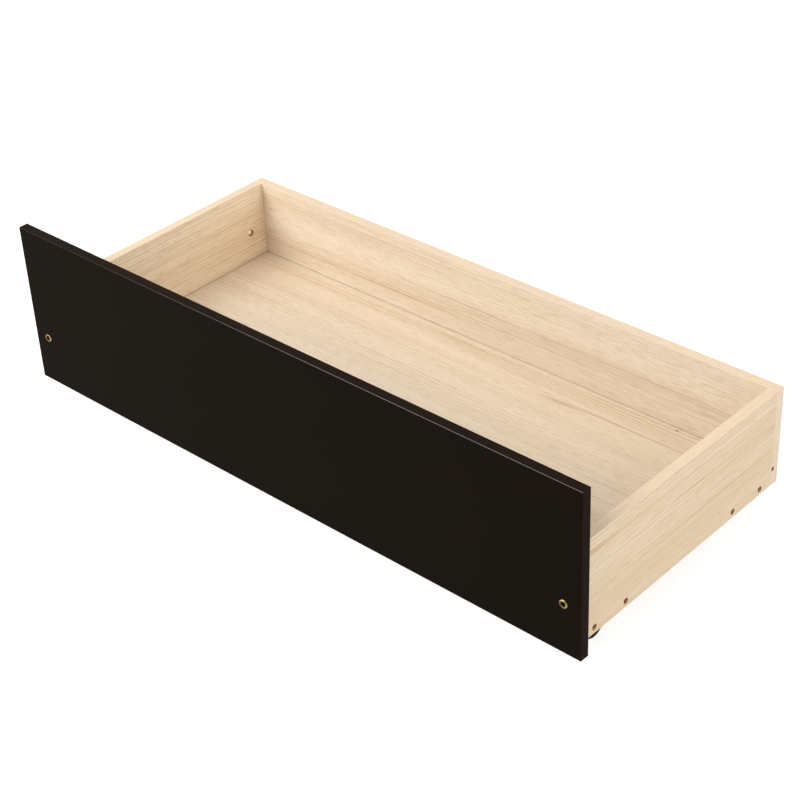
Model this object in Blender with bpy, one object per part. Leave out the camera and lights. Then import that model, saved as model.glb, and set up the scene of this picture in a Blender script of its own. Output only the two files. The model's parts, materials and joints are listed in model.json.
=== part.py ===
"""Under-bed storage drawer on four fixed casters.

A wide dark front panel carries a lower open box of grain-faced boards: two sides, a back and a thin
floor that slides in grooves. Cross bolts with barrel nuts and plain dowels hold the corners. Two rails
under the floor are held by screws through the sides, and each rail carries two plate casters.

Frame: metres, +X to the right end, +Y to the back, +Z up. The origin is on the ground, at the middle
of the drawer's width and depth.
"""

import math

import bmesh
import bpy
from mathutils import Matrix, Vector

MM = 0.001
GAP = 0.3 * MM  # clearance between pieces that touch

# Boards
WIDTH = 1000 * MM  # front panel, end to end
DEPTH = 450 * MM  # front face to back face
FRONT_HEIGHT = 249 * MM
BOX_HEIGHT = 150 * MM
BOX_INSET = 19 * MM  # box behind the ends of the front panel
BOARD = 15 * MM
GROUND_CLEARANCE = 40 * MM  # ground to the boards' lower edges
SHEET = 5 * MM  # floor panel thickness
FLOOR_TOP = 28 * MM  # above the boards' lower edges
GROOVE_DEPTH = 5.5 * MM
FLOOR_TONGUE = 5 * MM  # how far the floor enters its grooves

# Cross rails under the floor
RAIL_WIDTH = 90 * MM
RAIL_RISE = 2 * MM  # above the boards' lower edges
RAIL_FROM_FACE = {"front": 83 * MM, "rear": 377 * MM}  # front face to each rail's centre line
RAIL_SCREW_PITCH = 63 * MM

# Corner fasteners
BOLT_RADIUS = 3 * MM
BOLT_LENGTH = 50 * MM
BOLT_HEAD_RADIUS = 6 * MM
BOLT_HEAD = 2.5 * MM
BOLT_PROUD = 1 * MM
HEX_ACROSS = 4 * MM
HEX_DEPTH = 1.8 * MM
NUT_RADIUS = 5 * MM
NUT_LENGTH = 12 * MM
NUT_FROM_END = 31 * MM  # barrel nut centre to the end of its side panel
NUT_SLOT = (1.2 * MM, 1 * MM)
DOWEL_RADIUS = 4 * MM
DOWEL_LENGTH = 30 * MM
DOWEL_IN_FACE = 10 * MM  # the part of a dowel in the front or back panel
DOWEL_PITCH = 64 * MM
DOWEL_CHAMFER = 1 * MM
HOLE_END = 0.5 * MM  # spare depth past the end of a dowel, bolt or screw

# Rail screws, through the sides
RAIL_SCREW_RADIUS = 2.5 * MM
RAIL_SCREW_LENGTH = 50 * MM
RAIL_SCREW_HEAD_RADIUS = 4.25 * MM
RAIL_SCREW_HEAD = 2.7 * MM
RAIL_SCREW_CONE = 1.8 * MM
RAIL_SCREW_TIP = 3 * MM
RAIL_SCREW_RECESS = 1 * MM

# Casters
CASTER_X = {"front": 451 * MM, "rear": 440 * MM}  # middle of the drawer to the middle of a wheel
WHEEL_RADIUS = 19 * MM
RIM_HALF_WIDTH = 7 * MM
HUB_HALF_WIDTH = 7.5 * MM
HUB_RADIUS = 6 * MM
WEB_HALF_WIDTH = 4.5 * MM
RIM_INNER_RADIUS = 14 * MM
RIM_CHAMFER = 1 * MM
AXLE_RADIUS = 2.5 * MM
AXLE_HEAD_RADIUS = 4.4 * MM
AXLE_HEAD = 1.2 * MM
STEEL = 1.5 * MM
FORK_HALF_GAP = 8.5 * MM
PLATE = (28 * MM, 44 * MM)
PLATE_CORNER = 4 * MM
LEG_HALF_TOP = 12 * MM
LEG_END_RADIUS = 7 * MM
PLATE_HOLES = (8 * MM, 17 * MM)  # caster centre to each plate hole, along X and Y
PLATE_SCREW_RADIUS = 1.6 * MM
PLATE_SCREW_LENGTH = 12 * MM
PLATE_SCREW_HEAD_RADIUS = 3.4 * MM
PLATE_SCREW_HEAD = 2 * MM

# Facets round each turned shape
ROUND = 16
SMALL_ROUND = 12
WHEEL_ROUND = 32

# Worked out
FRONT_Y = -DEPTH / 2
BACK_Y = DEPTH / 2
LOW = GROUND_CLEARANCE
SIDE_X = WIDTH / 2 - BOX_INSET - BOARD / 2  # middle of a side panel's thickness
BOX_HALF = WIDTH / 2 - BOX_INSET
INNER_X = BOX_HALF - BOARD
SIDE_HALF_LENGTH = DEPTH / 2 - BOARD - GAP
BOLT_Z = LOW + BOX_HEIGHT / 2
RAIL_Z = LOW + RAIL_RISE + BOARD / 2
RAIL_Y = {end: FRONT_Y + offset for end, offset in RAIL_FROM_FACE.items()}
AXLE_Z = WHEEL_RADIUS * math.cos(math.pi / WHEEL_ROUND)  # the faceted rim rests on one of its flats
PLATE_TOP = LOW + RAIL_RISE - GAP

UP = Vector((0, 0, 1))
SIDES = {"left": -1, "right": 1}
ENDS = {"front": -1, "rear": 1}


def clear_scene():
    for obj in list(bpy.data.objects):
        bpy.data.objects.remove(obj, do_unlink=True)


def material(name, colour, roughness, metallic=0.0):
    made = bpy.data.materials.new(name)
    made.use_nodes = True
    shader = made.node_tree.nodes["Principled BSDF"]
    shader.inputs["Base Color"].default_value = (*colour, 1)
    shader.inputs["Roughness"].default_value = roughness
    shader.inputs["Metallic"].default_value = metallic
    made.diffuse_color = (*colour, 1)
    return made


def loft(rings, closed=False):
    """A closed shell through rings of equal length, capped at its two ends unless the last ring meets the first."""
    bm = bmesh.new()
    rows = [[bm.verts.new(point) for point in ring] for ring in rings]
    pairs = list(zip(rows, rows[1:]))
    if closed:
        pairs.append((rows[-1], rows[0]))
    else:
        bm.faces.new(rows[0])
        bm.faces.new(rows[-1])
    for low, high in pairs:
        for i in range(len(low)):
            j = (i + 1) % len(low)
            bm.faces.new((low[i], low[j], high[j], high[i]))
    bmesh.ops.recalc_face_normals(bm, faces=bm.faces)
    return bm


def turned(profile, segments=ROUND, closed=False, phase=0.0):
    """A shell turned about Z from (radius, height) points."""
    turns = [phase + 2 * math.pi * i / segments for i in range(segments)]
    return loft([[(r * math.cos(a), r * math.sin(a), h) for a in turns] for r, h in profile], closed)


def prism(outline, low, high):
    return loft([[(x, y, z) for x, y in outline] for z in (low, high)])


def block(low, high):
    corners = ((low[0], low[1]), (high[0], low[1]), (high[0], high[1]), (low[0], high[1]))
    return prism(corners, low[2], high[2])


def hexagon(across, depth):
    """A socket cutter about Z, open past z = 0 and reaching depth below it."""
    return turned([(across / math.sqrt(3), -depth), (across / math.sqrt(3), depth)], segments=6)


def place(bm, location, direction=UP):
    turn = UP.rotation_difference(Vector(direction)).to_matrix().to_4x4()
    bm.transform(Matrix.Translation(location) @ turn)
    return bm


def add_object(name, bm, finish=None, location=(0, 0, 0), direction=UP, parent=None, smooth=False):
    mesh = bpy.data.meshes.new(name)
    bm.to_mesh(mesh)
    bm.free()
    if smooth:
        mesh.shade_smooth()
        mesh.set_sharp_from_angle(angle=math.radians(35))
    if finish:
        mesh.materials.append(finish)
    obj = bpy.data.objects.new(name, mesh)
    bpy.context.scene.collection.objects.link(obj)
    obj.rotation_mode = "QUATERNION"
    obj.rotation_quaternion = UP.rotation_difference(Vector(direction))
    obj.location = location
    if parent:
        obj.parent = parent
        obj.location = Vector(location) - parent.location
    return obj


def boolean(obj, name, shapes, operation="DIFFERENCE"):
    """Cuts the shapes from obj, or joins them to it. The shapes are in world space and don't meet each other."""
    joined = bmesh.new()
    for shape in shapes:
        mesh = bpy.data.meshes.new(name)
        shape.to_mesh(mesh)
        shape.free()
        joined.from_mesh(mesh)
        bpy.data.meshes.remove(mesh)
    tool = add_object(f"{obj.name}_{name}", joined)
    tool.hide_render = True
    tool.display_type = "WIRE"
    modifier = obj.modifiers.new(name, "BOOLEAN")
    modifier.operation = operation
    modifier.solver = "EXACT"
    modifier.object = tool


def board(name, low, high, finish):
    """A rectangular board whose origin is its centre."""
    low, high = Vector(low), Vector(high)
    half = (high - low) / 2
    return add_object(name, block(-half, half), finish, location=low + half)


def groove(low_x, high_x, low_y, high_y):
    """The channel that takes the floor panel, GAP above and below it."""
    top = LOW + FLOOR_TOP
    return block((low_x, low_y, top - SHEET - GAP), (high_x, high_y, top + GAP))


def dowel_heights():
    return (BOLT_Z - DOWEL_PITCH / 2, BOLT_Z + DOWEL_PITCH / 2)


def end_panel(name, end, half_width, height, groove_half, finish):
    """The front or back panel: bolt holes with head recesses, dowel holes and the floor groove."""
    outer = FRONT_Y if end < 0 else BACK_Y
    inner = outer - end * BOARD
    low_y, high_y = sorted((outer, inner))
    panel = board(name, (-half_width, low_y, LOW), (half_width, high_y, LOW + height), finish)
    inner_edge = sorted((inner - end * MM, inner + end * GROOVE_DEPTH))
    boolean(panel, "groove", [groove(-groove_half, groove_half, *inner_edge)])
    seat = BOLT_HEAD - BOLT_PROUD + GAP
    bolt_hole = [
        (BOLT_HEAD_RADIUS + GAP, -MM),
        (BOLT_HEAD_RADIUS + GAP, seat),
        (BOLT_RADIUS + GAP, seat),
        (BOLT_RADIUS + GAP, BOARD + MM),
    ]
    dowel_hole = [(DOWEL_RADIUS + GAP, -MM), (DOWEL_RADIUS + GAP, DOWEL_IN_FACE + HOLE_END)]
    holes = []
    for side in SIDES.values():
        holes.append(place(turned(bolt_hole), (side * SIDE_X, outer, BOLT_Z), (0, -end, 0)))
        for z in dowel_heights():
            holes.append(place(turned(dowel_hole), (side * SIDE_X, inner, z), (0, end, 0)))
    boolean(panel, "holes", holes)
    return panel


def side_panel(name, side, finish):
    """A side: floor groove, bolt and dowel holes in both ends, barrel nut holes and rail screw holes."""
    low_x, high_x = sorted((side * BOX_HALF, side * INNER_X))
    half = SIDE_HALF_LENGTH
    panel = board(name, (low_x, -half, LOW), (high_x, half, LOW + BOX_HEIGHT), finish)
    inner_edge = sorted((side * (INNER_X - MM), side * (INNER_X + GROOVE_DEPTH)))
    boolean(panel, "groove", [groove(*inner_edge, -half - MM, half + MM)])

    bolt_depth = BOLT_LENGTH - BOLT_PROUD + BOLT_HEAD - BOARD + HOLE_END
    bolt_hole = [(BOLT_RADIUS + GAP, -MM), (BOLT_RADIUS + GAP, bolt_depth)]
    dowel_depth = DOWEL_LENGTH - DOWEL_IN_FACE + HOLE_END
    dowel_hole = [(DOWEL_RADIUS + GAP, -MM), (DOWEL_RADIUS + GAP, dowel_depth)]
    end_holes = []
    for end in ENDS.values():
        inward = (0, -end, 0)
        end_holes.append(place(turned(bolt_hole), (side * SIDE_X, end * half, BOLT_Z), inward))
        for z in dowel_heights():
            end_holes.append(place(turned(dowel_hole), (side * SIDE_X, end * half, z), inward))
    boolean(panel, "end_holes", end_holes)

    nut_depth = BOARD / 2 + NUT_LENGTH / 2 + GAP
    nut_hole = [(NUT_RADIUS + GAP, -MM), (NUT_RADIUS + GAP, nut_depth)]
    neck = RAIL_SCREW_RECESS + RAIL_SCREW_HEAD
    screw_hole = [
        (RAIL_SCREW_HEAD_RADIUS + GAP, -MM),
        (RAIL_SCREW_HEAD_RADIUS + GAP, neck + GAP),
        (RAIL_SCREW_RADIUS + GAP, neck + RAIL_SCREW_CONE + GAP),
        (RAIL_SCREW_RADIUS + GAP, BOARD + MM),
    ]
    face_holes = []
    for end in ENDS.values():
        nut_y = end * (half - NUT_FROM_END)
        face_holes.append(place(turned(nut_hole), (side * INNER_X, nut_y, BOLT_Z), (side, 0, 0)))
    for y in rail_screw_rows():
        face_holes.append(place(turned(screw_hole), (side * BOX_HALF, y, RAIL_Z), (-side, 0, 0)))
    boolean(panel, "face_holes", face_holes)
    return panel


def rail_screw_rows():
    offsets = (-RAIL_SCREW_PITCH / 2, RAIL_SCREW_PITCH / 2)
    return [centre + offset for centre in RAIL_Y.values() for offset in offsets]


def plate_hole_spots():
    dx, dy = PLATE_HOLES
    return [(sx * dx, sy * dy) for sy in (-1, 1) for sx in (-1, 1)]


def cross_rail(end_word, finish):
    """A rail under the floor: screw holes in both ends and pilot holes for the casters below."""
    y = RAIL_Y[end_word]
    half = INNER_X - GAP
    low = (-half, y - RAIL_WIDTH / 2, LOW + RAIL_RISE)
    high = (half, y + RAIL_WIDTH / 2, LOW + RAIL_RISE + BOARD)
    rail = board(f"{end_word}_cross_rail", low, high, finish)
    reach = RAIL_SCREW_RECESS + RAIL_SCREW_LENGTH - BOARD - GAP + HOLE_END
    end_hole = [(RAIL_SCREW_RADIUS + GAP, -MM), (RAIL_SCREW_RADIUS + GAP, reach)]
    pilot = PLATE_SCREW_LENGTH - STEEL + HOLE_END
    pilot_hole = [(PLATE_SCREW_RADIUS + GAP, -MM), (PLATE_SCREW_RADIUS + GAP, pilot)]
    holes = []
    for side in SIDES.values():
        for offset in (-RAIL_SCREW_PITCH / 2, RAIL_SCREW_PITCH / 2):
            holes.append(place(turned(end_hole), (side * half, y + offset, RAIL_Z), (-side, 0, 0)))
        for dx, dy in plate_hole_spots():
            spot = (side * CASTER_X[end_word] + dx, y + dy, LOW + RAIL_RISE)
            holes.append(place(turned(pilot_hole, SMALL_ROUND), spot))
    boolean(rail, "holes", holes)
    return rail


def floor_panel(finish):
    half_x = INNER_X + FLOOR_TONGUE
    half_y = DEPTH / 2 - BOARD + FLOOR_TONGUE
    top = LOW + FLOOR_TOP
    return board("floor_panel", (-half_x, -half_y, top - SHEET), (half_x, half_y, top), finish)


def connector_bolt(name, side, end, finish):
    """A hex-socket bolt whose flat head stands just proud of the panel's outer face."""
    rim = 0.4 * MM
    profile = [
        (BOLT_HEAD_RADIUS - rim, 0),
        (BOLT_HEAD_RADIUS, -rim),
        (BOLT_HEAD_RADIUS, -BOLT_HEAD),
        (BOLT_RADIUS, -BOLT_HEAD),
        (BOLT_RADIUS, rim * 2 - BOLT_LENGTH - BOLT_HEAD),
        (BOLT_RADIUS - rim * 2, -BOLT_LENGTH - BOLT_HEAD),
    ]
    head = (side * SIDE_X, end * (DEPTH / 2 + BOLT_PROUD), BOLT_Z)
    outward = (0, end, 0)
    bolt = add_object(name, turned(profile), finish, head, outward, smooth=True)
    boolean(bolt, "socket", [place(hexagon(HEX_ACROSS, HEX_DEPTH), head, outward)])
    return bolt


def barrel_nut(name, side, end, finish):
    """A slotted cross dowel in the side's inner face, drilled across for the bolt."""
    outer = NUT_LENGTH / 2
    centre = (side * SIDE_X, end * (SIDE_HALF_LENGTH - NUT_FROM_END), BOLT_Z)
    inward = (-side, 0, 0)
    profile = [(NUT_RADIUS, -outer), (NUT_RADIUS, outer)]
    nut = add_object(name, turned(profile), finish, centre, inward, smooth=True)
    bore = [(BOLT_RADIUS + GAP, -2 * NUT_RADIUS), (BOLT_RADIUS + GAP, 2 * NUT_RADIUS)]
    boolean(nut, "bore", [place(turned(bore), centre, (0, 1, 0))])
    width, depth = NUT_SLOT
    slot = block((-2 * NUT_RADIUS, -width / 2, outer - depth), (2 * NUT_RADIUS, width / 2, outer + MM))
    boolean(nut, "slot", [place(slot, centre, inward)])
    return nut


def dowel(name, side, end, z, finish):
    """A chamfered wooden dowel across the joint between a side and an end panel."""
    slim = DOWEL_RADIUS - DOWEL_CHAMFER
    profile = [
        (slim, 0),
        (DOWEL_RADIUS, DOWEL_CHAMFER),
        (DOWEL_RADIUS, DOWEL_LENGTH - DOWEL_CHAMFER),
        (slim, DOWEL_LENGTH),
    ]
    start = (side * SIDE_X, end * (DEPTH / 2 - BOARD + DOWEL_IN_FACE), z)
    return add_object(name, turned(profile, SMALL_ROUND), finish, start, (0, -end, 0), smooth=True)


def rail_screw(name, side, y, finish):
    """A hex-socket confirmat screw, its head just below the side's outer face."""
    neck = -RAIL_SCREW_HEAD
    tip = -RAIL_SCREW_LENGTH
    profile = [
        (RAIL_SCREW_HEAD_RADIUS, 0),
        (RAIL_SCREW_HEAD_RADIUS, neck),
        (RAIL_SCREW_RADIUS, neck - RAIL_SCREW_CONE),
        (RAIL_SCREW_RADIUS, tip + RAIL_SCREW_TIP),
        (RAIL_SCREW_RADIUS / 2, tip),
    ]
    head = (side * (BOX_HALF - RAIL_SCREW_RECESS), y, RAIL_Z)
    outward = (side, 0, 0)
    screw = add_object(name, turned(profile), finish, head, outward, smooth=True)
    boolean(screw, "socket", [place(hexagon(HEX_ACROSS, HEX_DEPTH), head, outward)])
    return screw


def rounded_rectangle(width, length, radius, steps=4):
    """The outline of a plate, with its corners as arcs."""
    points = []
    for quarter in range(4):
        middle = math.radians(45 + 90 * quarter)
        cx = math.copysign(width / 2 - radius, math.cos(middle))
        cy = math.copysign(length / 2 - radius, math.sin(middle))
        for step in range(steps + 1):
            angle = math.radians(90) * (quarter + step / steps)
            points.append((cx + radius * math.cos(angle), cy + radius * math.sin(angle)))
    return points


def leg_outline(top, steps=12):
    """A fork leg seen from the side: a wide root that tapers in straight lines to a round end at the axle."""
    lean = math.acos(LEG_END_RADIUS / math.hypot(LEG_HALF_TOP, top))
    start = math.atan2(top, LEG_HALF_TOP) - lean
    sweep = math.pi + 2 * start
    points = [(-LEG_HALF_TOP, top), (LEG_HALF_TOP, top)]
    for step in range(steps + 1):
        angle = start - sweep * step / steps
        points.append((LEG_END_RADIUS * math.cos(angle), LEG_END_RADIUS * math.sin(angle)))
    return points


def fork_leg(axle, low_x, high_x):
    """One leg in world space. Its outline's axes lie along Y and Z."""
    leg = prism(leg_outline(PLATE_TOP - STEEL / 2 - AXLE_Z), low_x, high_x)
    across = Matrix(((0, 0, 1, 0), (1, 0, 0, 0), (0, 1, 0, 0), (0, 0, 0, 1)))
    leg.transform(Matrix.Translation(axle) @ across)
    bmesh.ops.recalc_face_normals(leg, faces=leg.faces)
    return leg


def caster_bracket(name, axle, finish, parent):
    """A pressed plate with two legs, drilled for the axle and for four screws."""
    to_plate = Vector((axle.x, axle.y, PLATE_TOP - STEEL))
    plate = prism(rounded_rectangle(*PLATE, PLATE_CORNER), 0, STEEL)
    bracket = add_object(name, plate, finish, to_plate, parent=parent)
    inner, outer = FORK_HALF_GAP, FORK_HALF_GAP + STEEL
    boolean(bracket, "legs", [fork_leg(axle, -outer, -inner), fork_leg(axle, inner, outer)], "UNION")
    axle_hole = [(AXLE_RADIUS + GAP, -2 * outer), (AXLE_RADIUS + GAP, 2 * outer)]
    boolean(bracket, "axle_hole", [place(turned(axle_hole), axle, (1, 0, 0))])
    screw_hole = [(PLATE_SCREW_RADIUS + GAP, -MM), (PLATE_SCREW_RADIUS + GAP, STEEL + MM)]
    spots = [to_plate + Vector((dx, dy, 0)) for dx, dy in plate_hole_spots()]
    boolean(bracket, "screw_holes", [place(turned(screw_hole, SMALL_ROUND), spot) for spot in spots])
    return bracket


def caster_wheel(name, axle, finish, parent):
    """A moulded wheel with a crowned rim, a thin web and a hub, its origin on the axle."""
    slope = 0.8 * MM
    half = [
        (AXLE_RADIUS + GAP, HUB_HALF_WIDTH),
        (HUB_RADIUS, HUB_HALF_WIDTH),
        (HUB_RADIUS + slope, WEB_HALF_WIDTH),
        (RIM_INNER_RADIUS, WEB_HALF_WIDTH),
        (RIM_INNER_RADIUS + slope, RIM_HALF_WIDTH),
        (WHEEL_RADIUS - RIM_CHAMFER, RIM_HALF_WIDTH),
        (WHEEL_RADIUS, RIM_HALF_WIDTH - RIM_CHAMFER),
    ]
    profile = half + [(r, -h) for r, h in reversed(half)]
    wheel = turned(profile, WHEEL_ROUND, closed=True, phase=math.pi / WHEEL_ROUND)
    return add_object(name, wheel, finish, axle, (1, 0, 0), parent, smooth=True)


def caster_axle(name, axle, finish, parent):
    """A rivet through the fork, with a low head outside each leg."""
    seat = FORK_HALF_GAP + STEEL + GAP
    low_head = 0.5 * MM
    half = [
        (AXLE_RADIUS, seat),
        (AXLE_HEAD_RADIUS, seat),
        (AXLE_HEAD_RADIUS, seat + AXLE_HEAD - low_head),
        (AXLE_HEAD_RADIUS - 2 * low_head, seat + AXLE_HEAD),
    ]
    profile = [(r, -h) for r, h in reversed(half)] + half
    return add_object(name, turned(profile, SMALL_ROUND), finish, axle, (1, 0, 0), parent, smooth=True)


def caster_screw(name, spot, finish, parent):
    """A pan-head screw, driven up through the plate into the rail."""
    tip = PLATE_SCREW_HEAD + PLATE_SCREW_LENGTH
    profile = [
        (PLATE_SCREW_HEAD_RADIUS, 0),
        (PLATE_SCREW_HEAD_RADIUS, -PLATE_SCREW_HEAD),
        (PLATE_SCREW_RADIUS, -PLATE_SCREW_HEAD),
        (PLATE_SCREW_RADIUS, 2 * MM - tip),
        (PLATE_SCREW_RADIUS / 4, -tip),
    ]
    head = spot - Vector((0, 0, PLATE_SCREW_HEAD + GAP))
    return add_object(name, turned(profile, SMALL_ROUND), finish, head, (0, 0, -1), parent, smooth=True)


def caster(end_word, word, steel, rivet, zinc, plastic):
    """One fixed caster. Its parts hang from an empty on the wheel's axis."""
    place_name = f"{end_word}_{word}"
    axle = Vector((SIDES[word] * CASTER_X[end_word], RAIL_Y[end_word], AXLE_Z))
    pivot = bpy.data.objects.new(f"caster_{place_name}", None)
    pivot.location = axle
    pivot.empty_display_size = WHEEL_RADIUS
    bpy.context.scene.collection.objects.link(pivot)
    caster_bracket(f"caster_bracket_{place_name}", axle, steel, pivot)
    caster_wheel(f"caster_wheel_{place_name}", axle, plastic, pivot)
    caster_axle(f"caster_axle_{place_name}", axle, rivet, pivot)
    for number, (dx, dy) in enumerate(plate_hole_spots(), 1):
        spot = Vector((axle.x + dx, axle.y + dy, PLATE_TOP - STEEL))
        caster_screw(f"caster_screw_{place_name}_{number}", spot, zinc, pivot)


def main():
    clear_scene()
    espresso = material("espresso_laminate", (0.014, 0.010, 0.008), 0.45)
    ash = material("ash_laminate", (0.76, 0.59, 0.40), 0.5)
    chipboard = material("rail_board", (0.72, 0.56, 0.38), 0.6)
    birch = material("birch_dowel", (0.70, 0.53, 0.33), 0.7)
    brass = material("brass_plated_steel", (0.62, 0.45, 0.18), 0.3, 1.0)
    nickel = material("nickel_plated_steel", (0.62, 0.60, 0.56), 0.25, 1.0)
    copper = material("bronzed_steel", (0.32, 0.14, 0.07), 0.4, 1.0)
    zinc = material("zinc_plated_steel", (0.60, 0.61, 0.62), 0.35, 1.0)
    black = material("black_polypropylene", (0.010, 0.010, 0.011), 0.5)

    end_panel("front_panel", -1, WIDTH / 2, FRONT_HEIGHT, INNER_X + 2 * FLOOR_TONGUE, espresso)
    end_panel("back_panel", 1, BOX_HALF, BOX_HEIGHT, BOX_HALF + MM, ash)
    for word, side in SIDES.items():
        side_panel(f"{word}_side_panel", side, ash)
    floor_panel(ash)
    for end_word in ENDS:
        cross_rail(end_word, chipboard)

    for end_word, end in ENDS.items():
        for word, side in SIDES.items():
            corner = f"{end_word}_{word}"
            connector_bolt(f"connector_bolt_{corner}", side, end, brass)
            barrel_nut(f"barrel_nut_{corner}", side, end, nickel)
            for level, z in zip(("lower", "upper"), dowel_heights()):
                dowel(f"dowel_{corner}_{level}", side, end, z, birch)
            caster(end_word, word, zinc, nickel, zinc, black)
    for word, side in SIDES.items():
        for number, y in enumerate(rail_screw_rows(), 1):
            rail_screw(f"rail_screw_{word}_{number}", side, y, copper)


main()
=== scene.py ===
"""Surfaces, materials and a plain studio for an under-bed storage drawer on four fixed casters.

Run as a script it builds everything in order; the same operators stand in a sidebar panel.
"""

import json
import math
from functools import partial
from typing import NamedTuple

import bmesh
import bpy
import numpy as np
from bpy.props import FloatProperty, FloatVectorProperty, IntProperty, PointerProperty
from mathutils import Matrix, Vector


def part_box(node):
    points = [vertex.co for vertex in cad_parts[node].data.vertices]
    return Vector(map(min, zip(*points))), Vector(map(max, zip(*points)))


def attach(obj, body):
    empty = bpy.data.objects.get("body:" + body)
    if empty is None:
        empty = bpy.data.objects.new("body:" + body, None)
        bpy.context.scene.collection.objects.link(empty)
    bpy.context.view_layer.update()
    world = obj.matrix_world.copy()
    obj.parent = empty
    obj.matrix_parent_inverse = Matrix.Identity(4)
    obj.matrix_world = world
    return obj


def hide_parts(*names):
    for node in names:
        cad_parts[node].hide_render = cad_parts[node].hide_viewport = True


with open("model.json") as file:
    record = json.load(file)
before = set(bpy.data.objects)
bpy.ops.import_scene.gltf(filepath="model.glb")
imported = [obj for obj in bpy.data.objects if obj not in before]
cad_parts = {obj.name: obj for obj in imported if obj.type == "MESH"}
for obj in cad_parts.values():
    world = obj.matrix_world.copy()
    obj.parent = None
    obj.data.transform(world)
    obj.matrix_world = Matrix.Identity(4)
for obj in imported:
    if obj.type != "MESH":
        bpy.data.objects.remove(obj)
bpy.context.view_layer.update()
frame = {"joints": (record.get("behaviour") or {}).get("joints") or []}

bl_info = {
    "name": "Under-bed drawer",
    "version": (1, 0, 0),
    "blender": (4, 5, 0),
    "location": "3D View > Sidebar > Drawer",
    "description": "Builds the boards, fasteners and casters of an under-bed drawer, with a plain studio",
    "category": "Object",
}

MM = 0.001
RING_SPACING = 4.7  # millimetres between the ash foil's growth lines
SIDE_PAINTED_LIGHT_TINT_PLAIN = {"left": (1.14, 0.08, 0.41), "right": (0.77, -0.02, 0.37)}  # gain, bleach and plain; the gain is painted light, brighter on the left side's shaded inner face and darker on the right side's outer face
BODY = "drawer"  # the body that everything but the wheels rides on
SIDES = {"left": -1, "right": 1}
ENDS = {"front": -1, "rear": 1}
CORNERS = [(end, side) for end in ENDS for side in SIDES]
SHARP = math.radians(32)  # edges steeper than this are shaded sharp
SNUG = 0.02 * MM  # clearance under the floor panel in its groove
OVER = MM  # how far a cutter starts or ends outside the board it cuts
BORE_SEGMENTS = 48  # facets round a drilled hole
SPARE = 0.5 * MM  # a blind hole's depth past the end of what goes into it
BOLT_SEAT = 1.8 * MM  # depth of the recess under a connector bolt's head
BOLT_HOLE = 3.3 * MM  # this and the next three are the holes' radii
RAIL_SCREW_HOLE = 2.8 * MM
CASTER_SCREW_HOLE = 1.9 * MM
AXLE_HOLE = 2.8 * MM
NUT_LIFT = 1.1 * MM  # a barrel nut's domed end, past its CAD stand-in
AIM = (0.0229, -0.0121, 0.1021)  # where the camera looks, near the drawer's middle
FACTOR, FIRST, SECOND = 0, 6, 7  # a Mix node's inputs for colours
COLOURS = {"out": 2, "data_type": "RGBA"}  # its output and its setting for them

# The order of axes that lays a material's grain: along it, across it, then through the piece.
ALONG_X_ACROSS_Y = "XYZ"
ALONG_X_ACROSS_Z = "XZY"
ALONG_Y_ACROSS_Z = "YZX"
ALONG_Y_ACROSS_X = "YXZ"
ALONG_Z_ACROSS_Y = "ZYX"


def linear(code):
    """sRGB hex, such as "E3CBA8", as linear red, green and blue."""
    parts = [int(code[i : i + 2], 16) / 255 for i in (0, 2, 4)]
    return [c / 12.92 if c <= 0.04045 else ((c + 0.055) / 1.055) ** 2.4 for c in parts]


def length(name, description, default):
    return FloatProperty(name=name, description=description, default=default, unit="LENGTH", precision=5)


def angle(name, description, degrees):
    return FloatProperty(name=name, description=description, default=math.radians(degrees), subtype="ANGLE")


def amount(name, description, default):
    return FloatProperty(name=name, description=description, default=default, min=0)


def colour(name, description, default):
    return FloatVectorProperty(
        name=name, description=description, default=linear(default), subtype="COLOR", min=0, max=1
    )


# ---------------------------------------------------------------- settings


class BoardSettings(bpy.types.PropertyGroup):
    arris: length("Foil arris", "Radius where the foil turns over a board's edge", 0.12 * MM)
    band: length("Band thickness", "Edge band, outwards from the board's core", 0.8 * MM)
    band_arris: length("Band arris", "Width trimmed off an edge band's two long edges", 0.48 * MM)
    seam: length("Seam", "Joint left between pieces that meet", 0.06 * MM)
    groove_gap: length("Groove gap", "Shadow gap over the floor panel in its groove", 1.0 * MM)


class FinishSettings(bpy.types.PropertyGroup):
    espresso: colour("Espresso", "Foil on the front panel", "110C07")
    espresso_band: colour("Espresso band", "Edge band round the front panel", "1C130D")
    ash_pale: colour("Ash, pale", "Lightest wood between the grain lines", "EEDBBE")
    ash_warm: colour("Ash, warm", "Broad bands of warmer wood", "E5CDAC")
    ash_line: colour("Ash, grain line", "Dark edge of a growth ring", "B08A5A")
    ash_band: colour("Ash band", "Edge band on the box", "D9C3A8")
    chip: colour("Particle board", "Raw core at an unbanded edge", "C6A272")
    brass: colour("Brass plating", "Connector bolts", "C9AF70")
    bronze: colour("Bronzed steel", "Screws through the sides", "B98660")
    black: colour("Black plastic", "Caster wheels", "0A0A0A")


class FastenerSettings(bpy.types.PropertyGroup):
    segments: IntProperty(name="Segments", description="Facets round a fastener", default=72, min=24)
    bolt_pitch: length("Bolt pitch", "Thread pitch of a connector bolt", 1.0 * MM)
    screw_pitch: length("Screw pitch", "Thread pitch of a screw in board", 3.0 * MM)
    hex_across: length("Hex socket", "Width across the flats of a hexagon socket", 4.0 * MM)


class CasterSettings(bpy.types.PropertyGroup):
    ribs: IntProperty(name="Ribs", description="Moulded ribs on each face of a wheel", default=6, min=0)
    steel: length("Bracket steel", "Thickness of the pressed sheet", 1.5 * MM)
    bend: length("Bracket bend", "Softened edges of the pressed bracket", 0.35 * MM)
    fork: length("Fork gap", "Half the width between a bracket's legs", 8.5 * MM)
    leg: length("Leg root", "Half a leg's width where it meets the plate", 12 * MM)
    corner: length("Plate corner", "Radius of the plate's corners", 4 * MM)


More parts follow.
